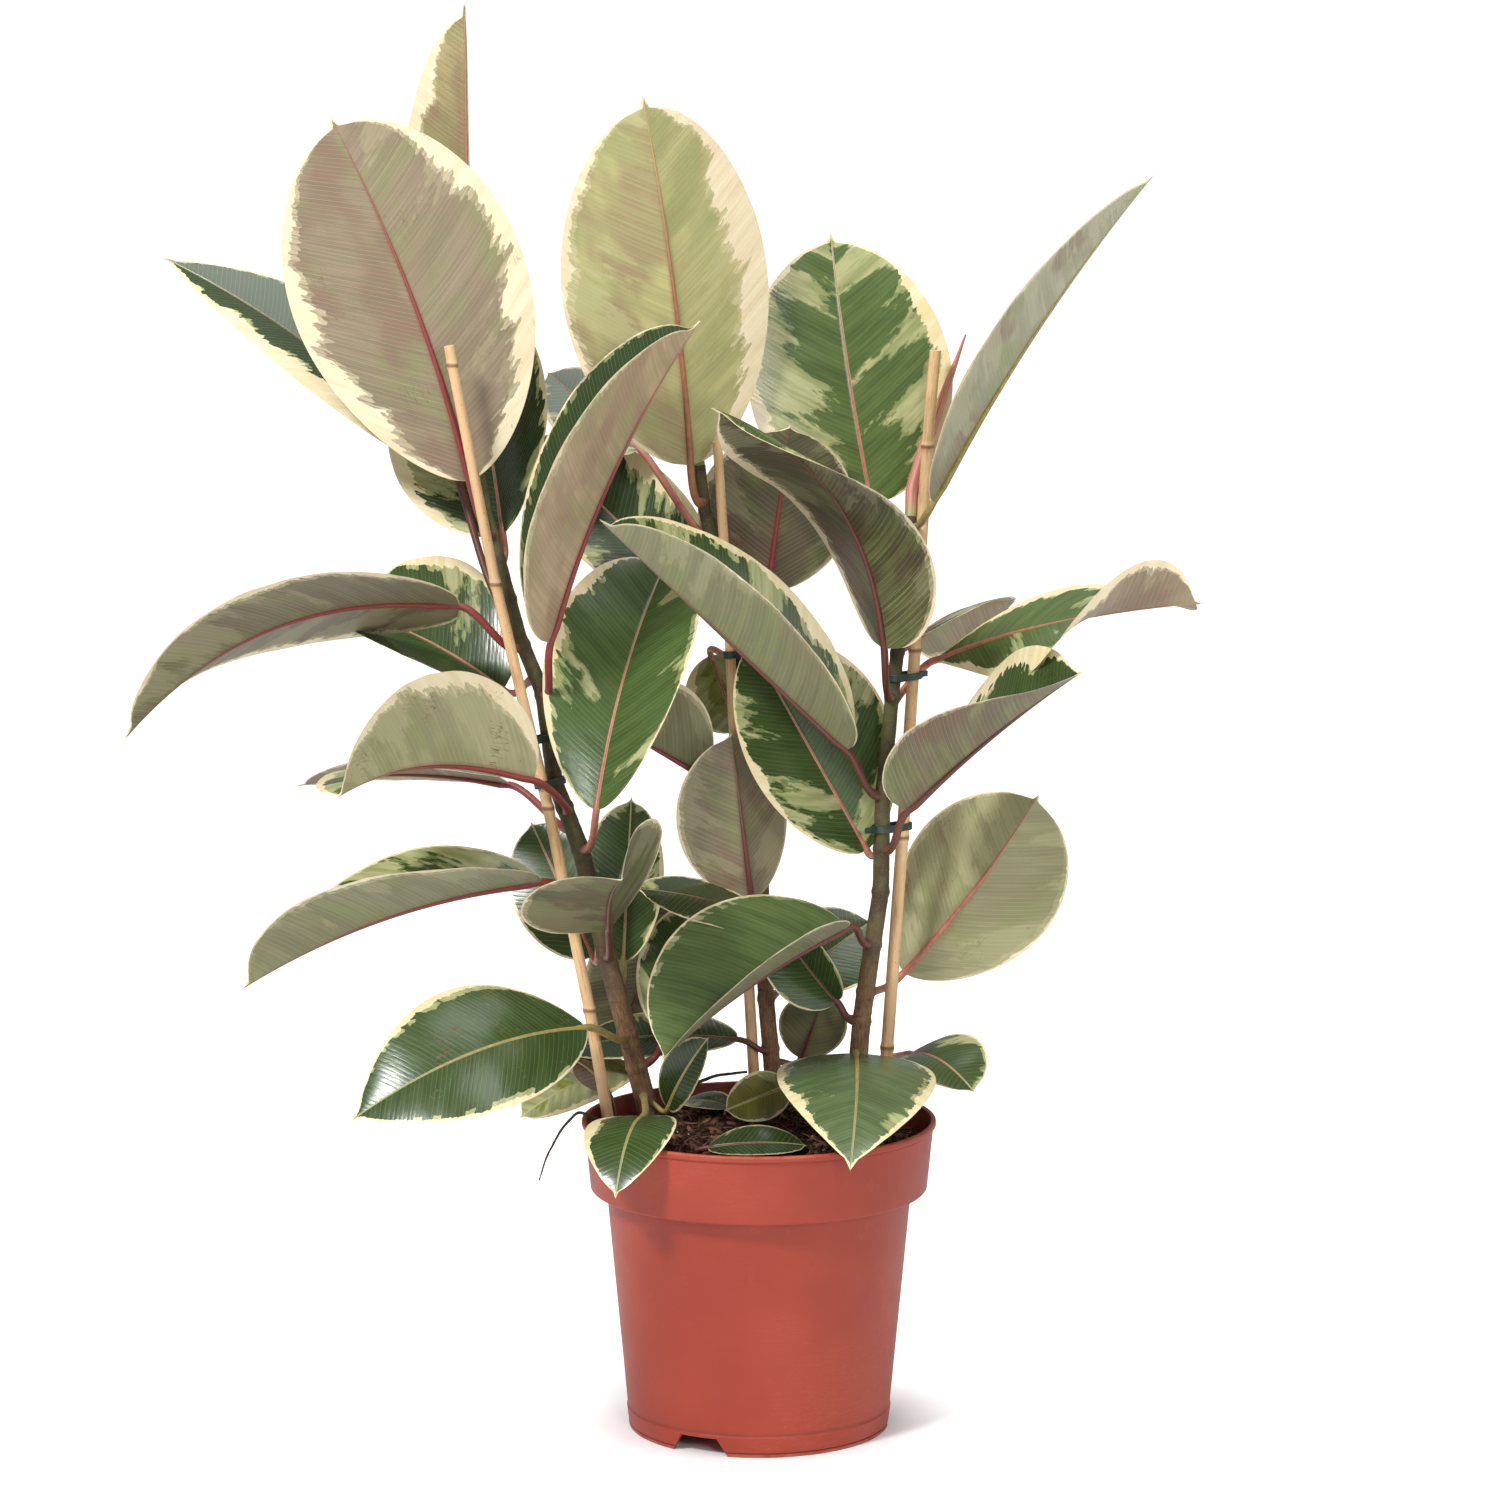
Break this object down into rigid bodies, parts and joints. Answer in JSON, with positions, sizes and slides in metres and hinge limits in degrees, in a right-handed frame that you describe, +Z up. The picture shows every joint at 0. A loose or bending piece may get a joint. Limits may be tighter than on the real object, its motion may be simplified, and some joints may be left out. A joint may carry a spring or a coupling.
{
  "type": "potted rubber plant",
  "caption": "Potted rubber plant with variegated green and cream leaves on slender stems tied to bamboo canes, in a terracotta-coloured nursery pot.",
  "frame": {"origin": "on the surface that the pot stands on, under the middle of the whole plant's width and depth", "axes": "+Z up along the pot's axis, +X along the plant's width to the right as seen from the front, front of the plant towards -Y"},
  "size_m": [0.713, 0.3006, 0.9562],
  "materials": {
    "pot_plastic": "moulded terracotta-red plastic with a soft sheen, fine turning lines and faint scuffs",
    "potting_soil": "damp dark peat and bark crumbs with lighter fibres",
    "stem": "green-brown young bark with rings at the leaf scars, woody grey-brown low down",
    "bamboo": "pale tan bamboo, satin, with darker rings at the joints and long fine fibres",
    "tie_plastic": "dark green moulded plastic",
    "leaf": "thick glossy leaf: dark and grey-green marbling with an uneven cream margin, and a duller pinkish brown underside"
  },
  "bodies": {
    "root": {"cane_left": "bamboo", "cane_middle": "bamboo", "cane_right": "bamboo", "fallen_leaf_back": "leaf", "fallen_leaf_front": "leaf", "leaf_left_01": "leaf", "leaf_left_02": "leaf", "leaf_left_03": "leaf", "leaf_left_04": "leaf", "leaf_left_05": "leaf", "leaf_left_06": "leaf", "leaf_left_07": "leaf", "leaf_left_08": "leaf", "leaf_left_09": "leaf", "leaf_left_10": "leaf", "leaf_left_11": "leaf", "leaf_left_12": "leaf", "leaf_left_13": "leaf", "leaf_left_14": "leaf", "leaf_left_15": "leaf", "leaf_left_16": "leaf", "leaf_left_17": "leaf", "leaf_left_18": "leaf", "leaf_left_19": "leaf", "leaf_left_20": "leaf", "leaf_left_21": "leaf", "leaf_middle_01": "leaf", "leaf_middle_02": "leaf", "leaf_middle_03": "leaf", "leaf_middle_04": "leaf", "leaf_middle_05": "leaf", "leaf_middle_06": "leaf", "leaf_middle_07": "leaf", "leaf_middle_08": "leaf", "leaf_middle_09": "leaf", "leaf_middle_10": "leaf", "leaf_olive": "leaf", "leaf_right_01": "leaf", "leaf_right_02": "leaf", "leaf_right_03": "leaf", "leaf_right_04": "leaf", "leaf_right_05": "leaf", "leaf_right_06": "leaf", "leaf_right_07": "leaf", "leaf_right_08": "leaf", "leaf_right_09": "leaf", "leaf_right_10": "leaf", "leaf_right_11": "leaf", "leaf_right_12": "leaf", "leaf_right_13": "leaf", "pot": "pot_plastic", "soil": "potting_soil", "stem_left": "stem", "stem_middle": "stem", "stem_right": "stem", "tie_1": "tie_plastic", "tie_2": "tie_plastic", "tie_3": "tie_plastic", "tie_4": "tie_plastic", "tie_5": "tie_plastic"}
  },
  "joints": []
}
